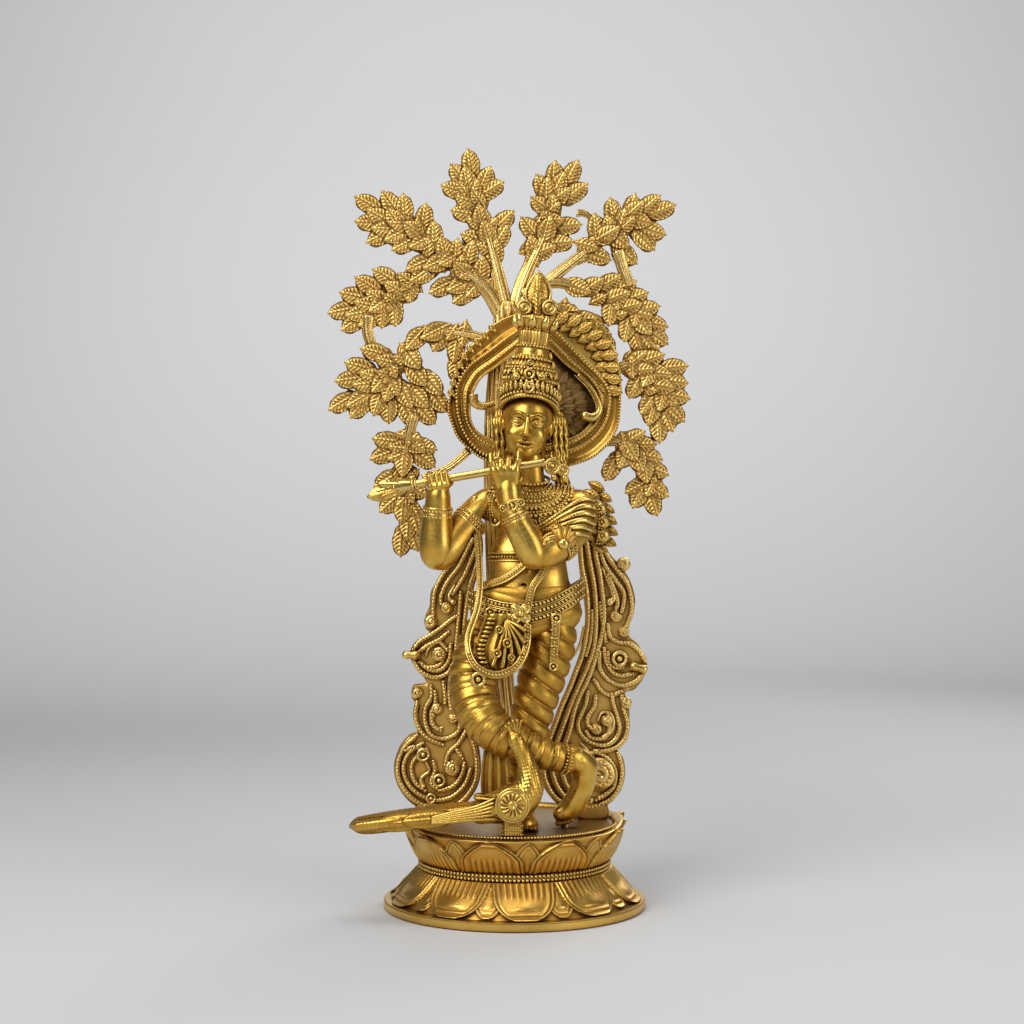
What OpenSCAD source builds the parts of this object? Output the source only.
// Cast brass statue: a flute player with crossed legs and a peacock on a lotus pedestal, in front of
// a leafy tree that carries an ogee arch. Millimetres. The origin is the centre of the pedestal's
// underside, +Z is up and the figure faces -Y. Left and right are the onlooker's: left is -X.

/* [Pedestal] */
// Diameter of the turned foot disc
foot_d = 130.5; // [126:0.5:136]
// Thickness of the foot disc
foot_h = 4.5; // [3.5:0.5:6]
// Height of the lower, down-turned row of lotus petals
lower_lotus_h = 15.5; // [13:0.5:18]
// Height of the beaded collar between the two rows
collar_h = 4; // [3:0.5:6]
// Outer diameter of the beaded collar
collar_d = 97; // [94:0.5:99]
// Height from the collar to the top of the platform
upper_lotus_h = 17.5; // [15:0.5:20]
// Height that the upper petals' lips stand above the platform
lip_rise = 3.5; // [2:0.5:5]
// Diameter over the upper petals' lips
lip_d = 116; // [112:0.5:120]
// Number of petals in the lower row
lower_petals = 10; // [8:1:12]
// Number of petals in the upper row
upper_petals = 9; // [8:1:12]
// How much lower the upper petals' lips are at the front than at the sides
front_drop = 3.2; // [0:0.2:3.4]
// Diameter of the platform plate
plate_d = 98; // [94:0.5:99]
// Thickness of the platform plate
plate_t = 3; // [2:0.5:4]

/* [Flute] */
// Radius of the flute
flute_r = 1.95; // [1.5:0.05:2.5]
// Radial running clearance of the flute in the hands
flute_gap = 0.05; // [0.02:0.01:0.1]
// Rise of the flute towards the right, in degrees
flute_rise = 9.7; // [8:0.1:11]
// Length of the flute, without the leaf on its outer end
flute_len = 66; // [62:1:70]

/* [Castings] */
// Front-to-back thickness of the arch
arch_t = 6; // [4:0.5:7]
// Front-to-back thickness of a leaf spray
leaf_t = 5; // [3:0.5:7]
// Front-to-back thickness of a scarf casting
scarf_t = 6; // [4:0.5:7]
// Radius of the mounting studs
stud_r = 2; // [1.5:0.5:2.5]

/* [Hidden] */

// Heights of the pedestal's joints
collar_z = foot_h + lower_lotus_h;
bowl_z = collar_z + collar_h;
platform_z = bowl_z + upper_lotus_h;
lip_z = platform_z + lip_rise;
// The castings are drawn for a platform at this height and move up or down with it
drawn_platform_z = 41.5;
foot_bore_r = 52;
collar_bore_r = 43;
ledge_w = 2;
plate_gap = 0.15;
ring_sides = 80;

// Front faces of the flat castings
arch_front = 12;
tree_front = 21.5;
scarf_front = 8;
panel_t = 2.5;

// The flute's line: a point on its axis and the hands' places along it
flute_y = -27;
flute_x0 = -10.7;
flute_z0 = 216.4;
left_hand_s = -26.7;
right_hand_s = 8;
flute_tip_s = 26;
hand_bore_r = flute_r + flute_gap;

// The arch's outer edge and its opening, in x and z, and the line where the leaf panel starts
ARCH_EDGE = [
    [10, 299], [22, 298], [33, 296], [44, 288], [51, 279], [54, 266], [54, 252], [53, 241], [50, 234],
    [45, 228], [38, 223], [25, 219], [10, 219], [-6, 220], [-16, 223], [-23, 228], [-29, 234], [-32, 241],
    [-34, 248], [-33, 256], [-31, 264], [-28, 272], [-24, 279], [-16, 286], [-7, 294]];
ARCH_OPENING = [
    [10, 286], [18, 279], [26, 271], [34, 265], [39, 259], [41, 252], [40, 245], [36, 239], [28, 234],
    [10, 230], [-4, 231], [-13, 234], [-19, 238], [-22, 244], [-22, 252], [-20, 259], [-16, 265],
    [-9, 270], [0, 277]];
panel_x = 13;
// Where the arch is riveted to the trunk: x and z
RIVETS = [[-5, 284], [-10, 226]];
rivet_r = 1.5;
rivet_head_r = 2.6;

// Where the castings are bolted through the platform: x and y
STUDS = [[4, -13], [25, -17], [0, 24], [-39.5, 11], [39, 11], [-1, -40.5]];
stud_top = 50;
stud_bottom = 31;
washer_t = 1;
nut_t = 3.2;
nut_d = 8;

// A point on the curve that passes through b and c, between its neighbours a and d
function curve_at(a, b, c, d, t) =
    0.5 * (2 * b + (c - a) * t + (2 * a - 5 * b + 4 * c - d) * t * t + (3 * b - a - 3 * c + d) * t * t * t);
// An open and a closed smooth curve through p
function open_curve(p, steps) =
    let (m = len(p) - 1)
    [for (i = [0 : m * steps])
        let (k = min(floor(i / steps), m - 1))
        curve_at(p[max(k - 1, 0)], p[k], p[k + 1], p[min(k + 2, m)], i / steps - k)];
function closed_curve(p, steps) =
    let (n = len(p))
    [for (i = [0 : n - 1], k = [0 : steps - 1])
        curve_at(p[(i + n - 1) % n], p[i], p[(i + 1) % n], p[(i + 2) % n], k / steps)];
function unit(v) = v / norm(v);
function xyz(v) = [v[0], v[1], v[2]];
// Faces of a tube of n rings with s points each, closed at both ends
function tube_faces(n, s) = concat(
    [[for (k = [0 : s - 1]) k]],
    [for (i = [0 : n - 2], k = [0 : s - 1])
        [i * s + k, (i + 1) * s + k, (i + 1) * s + (k + 1) % s, i * s + (k + 1) % s]],
    [[for (k = [s - 1 : -1 : 0]) (n - 1) * s + k]]);
// Faces of a ring of n loops with s points each, where the last loop meets the first
function ring_faces(n, s) =
    [for (i = [0 : n - 1], k = [0 : s - 1])
        [i * s + k, ((i + 1) % n) * s + k, ((i + 1) % n) * s + (k + 1) % s, i * s + (k + 1) % s]];

// A limb: rows of [x, y, z, half width across the view, half depth]
module limb(rows, up = [0, 1, 0], steps = 2, sides = 14) {
    path = open_curve(rows, steps);
    last = len(path) - 1;
    points = [for (i = [0 : last])
        let (along = unit(xyz(path[min(i + 1, last)]) - xyz(path[max(i - 1, 0)])),
             wide = unit(cross(up, along)),
             deep = cross(along, wide))
        for (k = [0 : sides - 1])
            xyz(path[i]) + wide * path[i][3] * cos(360 * k / sides) + deep * path[i][4] * sin(360 * k / sides)];
    polyhedron(points, tube_faces(last + 1, sides), convexity = 4);
}

// A body whose level sections are ellipses: rows of [x, y, z, half width, half depth]
module trunk_form(rows, steps = 2, sides = 20) {
    path = open_curve(rows, steps);
    points = [for (r = path, k = [0 : sides - 1])
        xyz(r) + [r[3] * cos(360 * k / sides), r[4] * sin(360 * k / sides), 0]];
    polyhedron(points, tube_faces(len(path), sides), convexity = 4);
}

// Extrudes an outline drawn in x and z, from y back by t
module casting(y, t) {
    translate([0, y + t, 0]) rotate([90, 0, 0]) linear_extrude(t) children();
}

// A flat band of the given half width along a curve through p
module band_2d(p, half_w, steps = 6) {
    c = open_curve(p, steps);
    last = len(c) - 1;
    function normal(i) =
        let (d = unit(c[min(i + 1, last)] - c[max(i - 1, 0)])) [-d[1], d[0]];
    polygon(concat(
        [for (i = [0 : last]) c[i] + half_w * normal(i)],
        [for (i = [last : -1 : 0]) c[i] - half_w * normal(i)]));
}

// A pointed leaf from its stalk at a to its tip at b
module leaf_2d(a, b, fat = 0.3) {
    d = b - a;
    n = [-d[1], d[0]];
    rim = [for (i = [0 : 8]) let (t = i / 8) [t, fat * pow(sin(180 * pow(t, 0.8)), 0.8)]];
    polygon(concat(
        [for (r = rim) a + d * r[0] + n * r[1]],
        [for (i = [7 : -1 : 1]) a + d * rim[i][0] - n * rim[i][1]]));
}

// A leaf spray: leaves from the spine to each tip, round its core, and a stem
module spray_2d(spine, tips, core_r, stem_w = 3, fat = 0.3) {
    c = open_curve(spine, 4);
    offset(delta = 0.15) union() {
        band_2d(spine, stem_w, 4);
        for (tip = tips) {
            near = min([for (q = c) norm(q - tip)]);
            root = [for (q = c) if (norm(q - tip) == near) q][0];
            leaf_2d(root, tip, fat);
            translate(root) circle(core_r, $fn = 24);
        }
    }
}

// Places a part on the flute's axis, with z along the flute towards its inner end
module on_flute(s) {
    translate([flute_x0 + s * cos(flute_rise), flute_y, flute_z0 + s * sin(flute_rise)])
        rotate([0, 90 - flute_rise, 0]) children();
}

module on_platform() {
    translate([0, 0, platform_z - drawn_platform_z]) children();
}

// A lotus row: the wall swells into petals; r0 and r1 are its outer radii at z0 and z1, bore lists
// the inner wall's radii and heights from the top down, and drop lowers the top edge at the front
module lotus_row(z0, z1, r0, r1, bore, swell, tip_up, count, phase, curve, drop = 0) {
    rows = 5;
    pitch = 360 / count;
    function petal(a, t) =
        let (u = abs((a - phase + 720 + pitch / 2) % pitch - pitch / 2) / (pitch / 2),
             reach = tip_up ? t : 1 - t)
        sqrt(max(0, 1 - u * u)) * (0.35 + 0.65 * sin(90 * min(1, reach * 1.4)));
    function lowered(a) = drop * pow(sin(90 * min(1, max(0, -sin(a)) / 0.6)), 2);
    outer = [for (j = [0 : rows]) let (t = j / rows) [r0 + (r1 - r0) * pow(t, 1 + curve), z0 + (z1 - z0) * t, t]];
    points = [for (k = [0 : ring_sides - 1])
        let (a = 360 * k / ring_sides)
        each concat(
            [for (o = outer) let (r = o[0] + swell * petal(a, o[2]))
                [r * cos(a), r * sin(a), o[1] - lowered(a) * o[2]]],
            [for (i = [0 : len(bore) - 1])
                [bore[i][0] * cos(a), bore[i][0] * sin(a), bore[i][1] - (i == 0 ? lowered(a) : 0)]])];
    polyhedron(points, ring_faces(ring_sides, rows + 1 + len(bore)), convexity = 4);
}

module base_foot() {
    edge = 0.6;
    color([0.78, 0.62, 0.36]) rotate_extrude($fn = 96) union() {
        translate([foot_bore_r, 0]) square([foot_d / 2 - foot_bore_r - edge, foot_h]);
        translate([foot_bore_r, edge]) square([foot_d / 2 - foot_bore_r, foot_h - 2 * edge]);
    }
}

module lower_lotus() {
    bore = [[collar_bore_r, collar_z], [foot_bore_r + 4, foot_h]];
    color([0.78, 0.58, 0.26]) lotus_row(foot_h, collar_z, 59.5, collar_d / 2 - 1, bore, 2.5, false, lower_petals, -85, -0.35);
}

module bead_collar() {
    bead_r = collar_h / 4;
    color([0.82, 0.62, 0.28]) translate([0, 0, collar_z]) rotate_extrude($fn = 96) union() {
        translate([collar_bore_r, 0]) square([collar_d / 2 - bead_r - collar_bore_r, collar_h]);
        for (z = [bead_r, 3 * bead_r]) translate([collar_d / 2 - bead_r, z]) circle(bead_r, $fn = 24);
    }
}

module upper_lotus() {
    ledge_z = platform_z - plate_t;
    ledge_r = plate_d / 2 + plate_gap;
    bore = [[ledge_r + 3, lip_z], [ledge_r, platform_z], [ledge_r, ledge_z], [ledge_r - ledge_w, ledge_z],
            [collar_bore_r, bowl_z]];
    color([0.78, 0.58, 0.26]) lotus_row(bowl_z, lip_z, 45, lip_d / 2 - 2, bore, 2, true, upper_petals, -103, -0.2, front_drop);
}

module platform_plate() {
    color([0.45, 0.34, 0.17]) difference() {
        translate([0, 0, platform_z - plate_t]) cylinder(h = plate_t, r = plate_d / 2, $fn = 96);
        for (p = STUDS) translate([p[0], p[1], 0]) cylinder(h = 60, r = stud_r + 0.25, $fn = 32);
    }
}

module mount_studs() {
    color([0.7, 0.56, 0.3]) on_platform() for (p = STUDS)
        translate([p[0], p[1], stud_bottom]) cylinder(h = stud_top - stud_bottom, r = stud_r, $fn = 32);
}

module mount_washers() {
    color([0.75, 0.7, 0.6]) for (p = STUDS)
        translate([p[0], p[1], platform_z - plate_t - washer_t]) difference() {
            cylinder(h = washer_t, r = nut_d / 2 + 0.8, $fn = 32);
            translate([0, 0, -1]) cylinder(h = washer_t + 2, r = stud_r + 0.2, $fn = 32);
        }
}

module mount_nuts() {
    color([0.72, 0.6, 0.34]) for (p = STUDS)
        translate([p[0], p[1], platform_z - plate_t - washer_t - nut_t]) difference() {
            cylinder(h = nut_t, d = nut_d, $fn = 6);
            translate([0, 0, -1]) cylinder(h = nut_t + 2, r = stud_r, $fn = 32);
        }
}

module tree_trunk() {
    color([0.6, 0.44, 0.2]) on_platform() trunk_form([
        [0, 23.5, 41.5, 10, 8], [-1, 23.5, 48, 7.5, 6.5], [-4, 23.5, 80, 6, 5.5], [-8, 23.5, 140, 6, 5.5],
        [-10, 23.5, 200, 6, 5.5], [-10, 23.5, 240, 5.5, 5.5], [-8, 23.5, 270, 5.5, 5.5],
        [-5, 23.5, 288, 6, 5.5], [-3, 23.5, 298, 5, 4.5], [-3, 23.5, 301, 2, 2]], 2, 14);
}

module arch_ring() {
    color([0.8, 0.6, 0.26]) on_platform() difference() {
        casting(arch_front, arch_t) difference() {
            polygon(closed_curve(ARCH_EDGE, 3));
            polygon(closed_curve(ARCH_OPENING, 3));
        }
        at_rivets(arch_front + arch_t / 3) cylinder(h = arch_t, r = rivet_r, $fn = 32);
    }
}

// Rivets come from the back of the trunk into blind holes, so the arch's front stays whole
module at_rivets(y) {
    for (p = RIVETS) translate([p[0], y, p[1]]) rotate([-90, 0, 0]) children();
}

module arch_rivets() {
    tip_y = arch_front + arch_t / 3;
    head_y = 29.5;
    color([0.8, 0.65, 0.35]) on_platform() {
        at_rivets(tip_y) cylinder(h = head_y - tip_y, r = rivet_r, $fn = 32);
        at_rivets(head_y - 1) cylinder(h = 1.5, r = rivet_head_r, $fn = 32);
    }
}

module arch_curls() {
    left = [[-24, 254], [-20, 251.5], [-15, 250], [-11.5, 251.5], [-10.5, 255]];
    right = [[29, 273], [36, 265], [40, 256], [39, 248], [35, 246]];
    color([0.85, 0.65, 0.3]) on_platform() {
        casting(arch_front + 1, arch_t - 2) band_2d(left, 1.8);
        casting(arch_front - 1.5, 2) union() {
            band_2d(right, 1.6);
            translate([34, 246.5]) circle(3.4, $fn = 32);
        }
    }
}

module arch_leaf_panel() {
    color([0.42, 0.3, 0.12]) on_platform() casting(arch_front + arch_t - panel_t, panel_t) intersection() {
        polygon(closed_curve(ARCH_OPENING, 3));
        translate([panel_x, 200]) square([60, 110]);
    }
}

// Spine and leaf tips of each spray, in x and z
SPRAY_A = [
    [[-3, 292], [-9, 322], [-16, 342], [-19, 358]],
    [[-24, 383], [-33, 375], [-38, 364], [-11, 375], [-5, 366], [0, 353], [-7, 338], [-29, 338]], 7];
SPRAY_B = [
    [[-1, 292], [6, 322], [14, 342], [20, 360]],
    [[21, 377], [34, 378], [10, 371], [38, 363], [4, 356], [3, 346], [35, 343], [29, 333]], 6];
SPRAY_C = [
    [[4, 300], [20, 314], [44, 333], [62, 344]],
    [[62, 361], [75, 360], [83, 354], [79, 338], [72, 330], [61, 319], [43, 353], [50, 358]], 7];
SPRAY_D = [
    [[-7, 290], [-20, 312], [-40, 330], [-62, 346]],
    [[-82, 358], [-68, 361], [-56, 360], [-45, 356], [-82, 345], [-77, 335], [-60, 328],
     [-21, 337], [-16, 325], [-34, 303], [-46, 318]], 9];
SPRAY_E = [
    [[-33, 308], [-50, 310], [-64, 303], [-76, 296]],
    [[-72, 321], [-82, 317], [-90, 309], [-96, 298], [-89, 288], [-53, 301], [-60, 291], [-75, 285]], 8];
SPRAY_F = [
    [[-10, 281], [-20, 285], [-36, 287], [-56, 279], [-66, 262]],
    [[-87, 272], [-92, 263], [-95, 248], [-84, 244], [-72, 245], [-45, 278], [-30, 271],
     [-32, 257], [-36, 245], [-79, 279]], 9];
SPRAY_F_LOWER = [
    [[-58, 250], [-57, 230], [-56, 208], [-55, 190]],
    [[-73, 234], [-74, 222], [-72, 208], [-39, 229], [-41, 220], [-70, 196], [-57, 172], [-48, 178]], 7];
SPRAY_G = [
    [[4, 306], [20, 310], [38, 306], [54, 300], [62, 286]],
    [[57, 319], [69, 309], [74, 302], [79, 291], [79, 281], [66, 277], [47, 294]], 7];
SPRAY_G_LOWER = [
    [[15, 306], [28, 296], [40, 288]],
    [[47, 288], [40, 280], [48, 278], [24, 297]], 5];
SPRAY_H = [
    [[47, 266], [60, 265], [72, 262], [76, 248]],
    [[89, 271], [89, 262], [90, 254], [87, 242], [76, 232], [65, 244], [58, 253], [62, 276], [78, 274]], 7];
SPRAY_I = [
    [[41, 230], [54, 227], [65, 217], [66, 206]],
    [[77, 223], [79, 215], [79, 204], [73, 194], [61, 198], [45, 212], [54, 237], [68, 238]], 7];

module spray(data, back = 0, stem_w = 3) {
    color([0.8, 0.6, 0.28]) on_platform() casting(tree_front + back, leaf_t)
        spray_2d(data[0], data[1], data[2], stem_w);
}

module spray_a() { spray(SPRAY_A); }
module spray_b() { spray(SPRAY_B, 0.5); }
module spray_c() { spray(SPRAY_C, -0.5, 2.6); }
module spray_d() { spray(SPRAY_D, -1); }
module spray_e() { spray(SPRAY_E); }
module spray_f() { spray(SPRAY_F, -4, 2.4); }
module spray_f_lower() { spray(SPRAY_F_LOWER, -4.5); }
module spray_g() { spray(SPRAY_G, -1, 2.6); }
module spray_g_lower() { spray(SPRAY_G_LOWER, -4); }
module spray_h() { spray(SPRAY_H, -4); }
module spray_i() { spray(SPRAY_I, -4); }

// Scarf castings: a leaf-shaped band that stands on the platform, with round bosses on its outer edge
module left_scarf() {
    outline = closed_curve([
        [-31, 166], [-37, 165], [-42, 153], [-45, 134], [-51, 127], [-50, 118], [-46, 110], [-52, 97],
        [-49, 86], [-56, 78], [-61, 66], [-58, 53], [-50, 45.5], [-38, 44], [-27, 52], [-22, 66],
        [-26, 90], [-28, 112], [-26, 135], [-27, 152]], 4);
    color([0.72, 0.54, 0.24]) on_platform() {
        casting(scarf_front, scarf_t) union() {
            polygon(outline);
            translate([-42.5, 140]) circle(3.6, $fn = 32);
            translate([-49, 105]) circle(3.6, $fn = 32);
            translate([-49, 41.5]) square([12, 6]);
        }
    }
}

module right_scarf() {
    outline = closed_curve([
        [33, 182], [39, 188], [47, 185], [53, 175], [58, 158], [60, 148], [58, 138], [63, 129],
        [67, 119], [63, 109], [57, 104], [58, 92], [53, 77], [55, 66], [52, 55], [45, 46],
        [35, 44], [22, 48], [13, 60], [12, 70], [17, 85], [24, 97], [30, 112], [35, 128], [36, 150]], 4);
    color([0.72, 0.54, 0.24]) on_platform() {
        casting(scarf_front, scarf_t) union() {
            polygon(outline);
            translate([55, 170]) circle(3.6, $fn = 32);
            translate([57, 136]) circle(3.4, $fn = 32);
            translate([57, 100]) circle(3.6, $fn = 32);
            translate([34, 41.5]) square([12, 6]);
        }
    }
}

module scarf_clips() {
    color([0.85, 0.68, 0.34]) on_platform() for (p = [[-52, 125], [63, 118.5]])
        translate([p[0], scarf_front - 3, p[1]]) rotate([0, 90, 0]) union() {
            cylinder(h = 8, r = 1.7, center = true, $fn = 32);
            sphere(2.2, $fn = 32);
        }
}

module standing_leg() {
    color([0.74, 0.55, 0.26]) on_platform() limb([
        [19, -7, 140.5, 7, 7], [18.6, -7, 138, 11.5, 12], [17.6, -7, 132, 12.6, 12.6], [14, -8, 116, 11.5, 11.5],
        [10, -9, 103, 10.8, 11], [7, -10, 88, 9.5, 9.8], [4.5, -11, 72, 8, 8.5], [3, -11, 57, 7, 7]]);
}

module standing_foot() {
    color([0.8, 0.6, 0.28]) on_platform() limb([
        [3, -3, 46.5, 3, 3], [3, -6, 47.5, 5, 5.8], [3, -11, 51, 5.3, 9.3], [4, -18, 47, 5.8, 5.3],
        [5.5, -26, 44.8, 6, 3.1], [6, -31, 43.8, 4, 2.2], [6, -32.5, 43.4, 2, 1.2]], [0, 0, 1]);
}

module crossed_leg() {
    color([0.74, 0.55, 0.26]) on_platform() limb([
        [-11, -10, 141, 7, 7], [-12.2, -10.5, 138, 11.5, 11.5], [-15.6, -13, 130, 13.4, 12.8], [-20, -19, 114, 12, 12],
        [-17.5, -26, 100, 11, 11], [-9, -31, 90, 9.8, 9.8], [3, -32, 84, 8.2, 8.2], [14, -31, 79.5, 7.4, 7.4],
        [25, -28, 76.5, 6.4, 6.4], [29, -27, 76, 5.6, 5.6]]);
}

module crossed_foot() {
    color([0.8, 0.6, 0.28]) on_platform() limb([
        [24, -28, 77.5, 4, 4], [30, -26, 76.5, 4.6, 4.6], [34.5, -23.5, 72, 5, 5.4], [33, -21, 63, 4.8, 5.6],
        [29, -19, 54, 4.8, 5], [26, -18, 47, 4.6, 4.2], [25, -17.5, 43.4, 3, 2.8]]);
}

module pleat_fall() {
    color([0.72, 0.54, 0.25]) on_platform() casting(-27, 8) polygon([
        [-16, 88], [-17, 70], [-15, 52], [-10, 50], [-4, 52], [-3, 70], [-4, 88]]);
}

module hips() {
    color([0.76, 0.57, 0.27]) on_platform() trunk_form([
        [5, -8, 134.5, 24, 12.5], [5.4, -8, 138, 27, 14.5], [5.8, -8, 146, 28, 15],
        [5.6, -8, 154, 26.5, 14.5], [5.6, -8, 161, 24, 13.2]], 2, 24);
}

module torso() {
    color([0.8, 0.6, 0.28]) on_platform() trunk_form([
        [5.6, -8, 161, 23.4, 12.8], [6, -8, 168, 21, 11.8], [6.4, -8, 175, 19.6, 11.4], [8, -8, 183, 20.5, 12.2],
        [10.5, -8, 192, 23.5, 13.2], [12, -8, 200, 26, 12.6], [12, -8, 206, 24, 10.6], [10.5, -8, 210, 15, 8.4],
        [9.4, -8, 213, 8, 7], [8.6, -8, 218, 6, 6], [8, -8, 224, 5.8, 5.8]], 2, 24);
}

module apron_panel() {
    color([0.7, 0.52, 0.24]) on_platform() casting(-30.5, 4) polygon([
        [-11, 144], [7, 144], [6, 128], [1, 118], [-6, 114], [-13, 117], [-16, 126]]);
}

module front_sash() {
    color([0.78, 0.58, 0.26]) on_platform() limb([
        [-18, -14, 201, 1.6, 1.2], [-16.5, -18, 188, 1.8, 1.2], [-14.5, -19.5, 173, 1.8, 1.2],
        [-13.5, -23, 153, 1.9, 1.3], [-17.5, -25, 138, 2.2, 1.5], [-20.5, -29, 124, 2.6, 1.6],
        [-17, -32, 116, 3, 1.8], [-8.5, -31.5, 111.5, 3.2, 2], [0, -29.5, 114, 3, 1.8],
        [6.5, -27, 124, 2.6, 1.6], [9, -25, 141, 2.2, 1.4]], [0, 1, 0], 3, 12);
}

module belt() {
    color([0.82, 0.62, 0.3]) on_platform() translate([5.7, -8, 150.5]) rotate([0, -5, 0]) union() {
        difference() {
            linear_extrude(8) scale([29, 16.4]) circle(1, $fn = 64);
            translate([0, 0, -1]) linear_extrude(10) scale([26.8, 14.2]) circle(1, $fn = 64);
        }
        for (a = [45 : 90 : 315]) translate([-4, -16.2, 2]) rotate([90, a, 0])
            translate([3.4, 0, 0]) cylinder(h = 2.2, r = 2.8, center = true, $fn = 32);
    }
}

module necklaces() {
    color([0.84, 0.64, 0.3]) on_platform() for (n = [[8.6, -9, 213, 8.6, 18], [9, -11, 208, 13, 32], [9.5, -12.5, 202, 17.5, 44]])
        translate([n[0], n[1], n[2]]) rotate([n[4], 0, 0])
            rotate_extrude($fn = 48) translate([n[3], 0]) circle(1.3, $fn = 20);
}

module shoulder_tassel() {
    color([0.74, 0.55, 0.26]) on_platform() {
        translate([44, -6, 196]) scale([1, 1, 0.8]) sphere(5.6, $fn = 32);
        translate([47, -6, 189]) scale([1, 1, 0.8]) sphere(5, $fn = 32);
        translate([48.5, -5, 182.5]) scale([1, 1, 0.9]) sphere(4.4, $fn = 32);
    }
}

module left_upper_arm() {
    color([0.8, 0.6, 0.28]) on_platform() limb([
        [-9, -8, 203.5, 5.5, 6.5], [-13, -8.8, 200.5, 8.2, 8.4], [-20.5, -12, 193.5, 8, 8.2], [-29, -17, 183, 7.7, 7.7],
        [-35, -20.5, 174.5, 7, 7], [-37, -21.5, 172, 5, 5]]);
}

module left_forearm() {
    color([0.8, 0.6, 0.28]) on_platform() trunk_form([
        [-38, -21.5, 168, 3, 3], [-38, -21.5, 170, 6, 6], [-38, -21.7, 176, 7.6, 7.4], [-37.9, -22.4, 186, 7.3, 7],
        [-37.6, -23.6, 195, 6.2, 6], [-37.3, -25, 201, 5, 4.8], [-37.1, -26, 207.5, 4.4, 4.2]], 3, 20);
}

module left_hand() {
    color([0.8, 0.6, 0.28]) on_platform() difference() {
        on_flute(left_hand_s) union() {
            cylinder(h = 11, r = 5.4, center = true, $fn = 48);
            for (s = [-4, -1.3, 1.4, 4.1]) translate([0, 0, s]) cylinder(h = 2.2, r = 6, center = true, $fn = 48);
        }
        on_flute(left_hand_s) cylinder(h = 40, r = hand_bore_r, center = true, $fn = 48);
    }
}

module right_upper_arm() {
    color([0.8, 0.6, 0.28]) on_platform() limb([
        [37.4, -8, 206, 4.5, 4.5], [37, -9.5, 201.5, 8.4, 8.4], [35, -14, 193, 9.3, 9.2], [28.5, -20.5, 184.5, 8.8, 8.6],
        [19.5, -26.5, 178.5, 7.8, 7.6], [12, -30, 175.5, 5.6, 5.4]]);
}

module right_forearm() {
    color([0.8, 0.6, 0.28]) on_platform() trunk_form([
        [11.5, -31, 169, 3, 3], [11, -31, 171, 6.4, 6], [8.5, -31, 178, 7.2, 6.8], [4, -31, 187, 6.4, 6],
        [-0.5, -30.5, 196, 5.3, 5], [-2.4, -29.5, 203, 5, 4.4], [-3, -28, 213, 4.6, 4]], 3, 20);
}

module right_hand() {
    color([0.8, 0.6, 0.28]) on_platform() difference() {
        on_flute(right_hand_s) union() {
            cylinder(h = 11, r = 5, center = true, $fn = 48);
            for (s = [-4, -1.3, 1.4, 4.1]) translate([0, 0, s]) cylinder(h = 2.2, r = 5.6, center = true, $fn = 48);
        }
        on_flute(right_hand_s) cylinder(h = 40, r = hand_bore_r, center = true, $fn = 48);
    }
}

module armlets() {
    color([0.84, 0.64, 0.3]) on_platform() {
        translate([-22, -13, 191.5]) rotate([25, -48, 0])
            rotate_extrude($fn = 48) translate([8.4, 0]) circle(1.3, $fn = 20);
        translate([26, -23, 181.5]) rotate([40, 62, 0])
            rotate_extrude($fn = 48) translate([8.6, 0]) circle(1.3, $fn = 20);
    }
}

module bracelets() {
    color([0.86, 0.66, 0.32]) on_platform() {
        for (z = [197, 200.4]) translate([-37.4, -24.4, z]) rotate([10, 0, 0])
            rotate_extrude($fn = 48) translate([6, 0]) circle(1.4, $fn = 20);
        for (s = [0, 3.2]) translate([2 - 0.45 * s, -31, 190 + 0.9 * s]) rotate([0, -26, 0])
            rotate_extrude($fn = 48) translate([5.9, 0]) circle(1.3, $fn = 20);
    }
}

module flute() {
    color([0.86, 0.68, 0.34]) on_platform() {
        on_flute(flute_tip_s - flute_len) union() {
            cylinder(h = flute_len, r = flute_r, $fn = 48);
            cylinder(h = 3, r = flute_r + 0.9, $fn = 48);
            translate([0, 0, -9]) cylinder(h = 9.5, r1 = 3.2, r2 = flute_r, $fn = 48);
        }
        translate([-63, flute_y - 1.5, 206.4]) rotate([90, 22, 0]) translate([0, 0, -3]) linear_extrude(3)
            scale([1.9, 1]) circle(4.6, $fn = 40);
    }
}

module head() {
    color([0.8, 0.6, 0.28]) on_platform() trunk_form([
        [6.6, -16, 222.2, 2.8, 2.8], [6.5, -14.5, 224, 5.8, 5.2], [6.3, -12, 228, 9, 8.8], [6.1, -10.6, 234, 11, 10.8],
        [6, -10, 241, 12.2, 12], [6, -10, 248, 12.4, 12.4], [6, -9.6, 254, 10.6, 11], [6, -9.4, 258, 6, 6.6]], 2, 22);
}

module hair() {
    color([0.66, 0.48, 0.22]) on_platform() trunk_form([
        [7.5, 4, 206, 12, 2.6], [7.5, 4, 212, 16, 3.6], [7, 3.6, 224, 18, 4.4], [6.6, 3.4, 236, 17, 4.8],
        [6.2, 3, 246, 14.5, 5], [6, 2.4, 251, 12, 4.6], [6, 2, 254, 9, 3]], 2, 20);
}

module earrings() {
    color([0.86, 0.66, 0.32]) on_platform() for (x = [-9.5, 20.5])
        translate([x, -8, 219]) rotate([90, 0, 0]) rotate_extrude($fn = 40) translate([3.2, 0]) circle(1.5, $fn = 20);
}

module diadem() {
    color([0.86, 0.66, 0.32]) on_platform() translate([7, -9, 248]) rotate([-22, 4, 0]) union() {
        difference() {
            linear_extrude(6) scale([14.4, 14.6]) circle(1, $fn = 64);
            translate([0, 0, -1]) linear_extrude(8) scale([11.8, 12.2]) circle(1, $fn = 64);
        }
        for (a = [-140 : 20 : -40]) rotate([0, 0, a]) translate([14, 0, 6]) rotate([0, 90, 0])
            cylinder(h = 2.4, r = 2.2, center = true, $fn = 32);
    }
}

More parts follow.
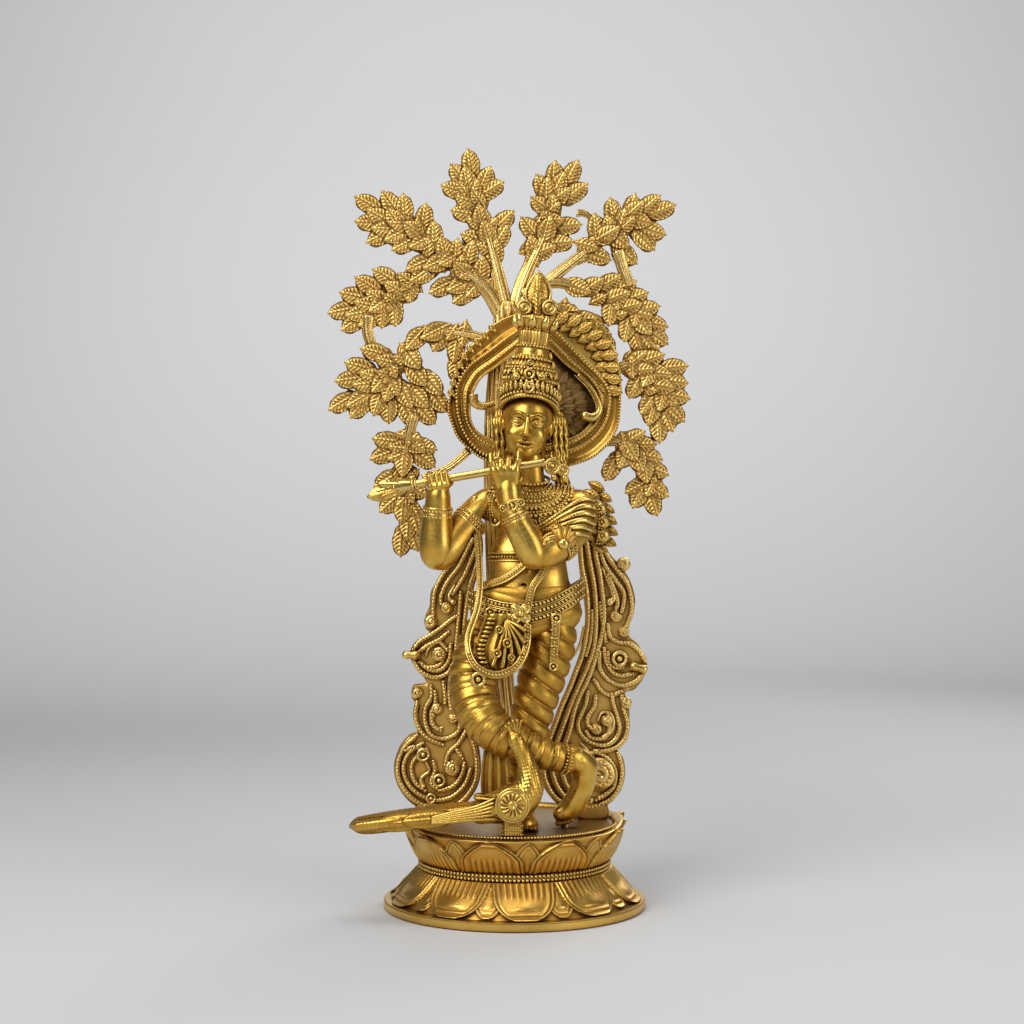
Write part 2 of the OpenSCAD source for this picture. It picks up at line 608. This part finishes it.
module crown() {
    color([0.84, 0.64, 0.3]) on_platform() translate([6.4, -8.6, 254]) rotate([0, 6.4, 0])
        rotate_extrude($fn = 64) polygon([
            [0, 0], [12, 0], [12.6, 3], [13.2, 8], [12.4, 12], [11, 17], [9, 20.5], [7.5, 23.6], [7.6, 26.5],
            [8, 29], [7.5, 32], [8, 34], [9.4, 37], [9.2, 39], [0, 39]]);
}

module crown_finial() {
    color([0.86, 0.66, 0.32]) on_platform() {
        casting(-10, 4) translate([11.4, 292]) leaf_2d([0, 0], [0.6, 24.5], 0.27);
        for (x = [4.8, 17]) translate([x, -10.5, 297.4]) sphere(4.4, $fn = 32);
    }
}

module peacock_perch() {
    color([0.7, 0.52, 0.25]) on_platform() translate([-5.5, -48.5, 41.5]) cube([9, 10, 9]);
}

module peacock_body() {
    color([0.8, 0.6, 0.28]) on_platform() limb([
        [-23, -41, 52.5, 2.5, 2.5], [-16, -42, 54, 5, 4.6], [-6, -43, 56.5, 7.4, 6.4], [2.5, -43.5, 59.5, 7.8, 6.6],
        [7.5, -44, 66, 5.6, 5], [6.8, -44, 73, 3.8, 3.8], [4.6, -44, 80, 3, 3], [1.6, -44, 86, 3.2, 3.2],
        [-0.5, -44, 90, 2.8, 2.6], [-1.6, -44, 94, 0.7, 0.7]]);
}

module peacock_wings() {
    color([0.84, 0.64, 0.3]) on_platform() for (y = [-51.5, -38])
        translate([-1, y, 57.5]) rotate([90, 0, 0]) cylinder(h = 3, r = 6.6, center = true, $fn = 48);
}

module peacock_tail() {
    color([0.78, 0.58, 0.27]) on_platform() limb([
        [-17, -41.5, 53.5, 4.4, 4.6], [-30, -40, 52.6, 4.2, 8], [-48, -37.5, 50, 4, 10.5], [-64, -35.5, 47.6, 3.6, 9],
        [-75, -34, 45.8, 2.6, 5.5], [-80, -33.5, 44.8, 1, 1.6]]);
}

base_foot();
lower_lotus();
bead_collar();
upper_lotus();
platform_plate();
mount_studs();
mount_washers();
mount_nuts();
tree_trunk();
arch_ring();
arch_curls();
arch_leaf_panel();
arch_rivets();
spray_a();
spray_b();
spray_c();
spray_d();
spray_e();
spray_f();
spray_f_lower();
spray_g();
spray_g_lower();
spray_h();
spray_i();
left_scarf();
right_scarf();
scarf_clips();
standing_leg();
standing_foot();
crossed_leg();
crossed_foot();
pleat_fall();
hips();
torso();
apron_panel();
front_sash();
belt();
necklaces();
shoulder_tassel();
left_upper_arm();
left_forearm();
left_hand();
right_upper_arm();
right_forearm();
right_hand();
armlets();
bracelets();
flute();
head();
hair();
earrings();
diadem();
crown();
crown_finial();
peacock_perch();
peacock_body();
peacock_wings();
peacock_tail();
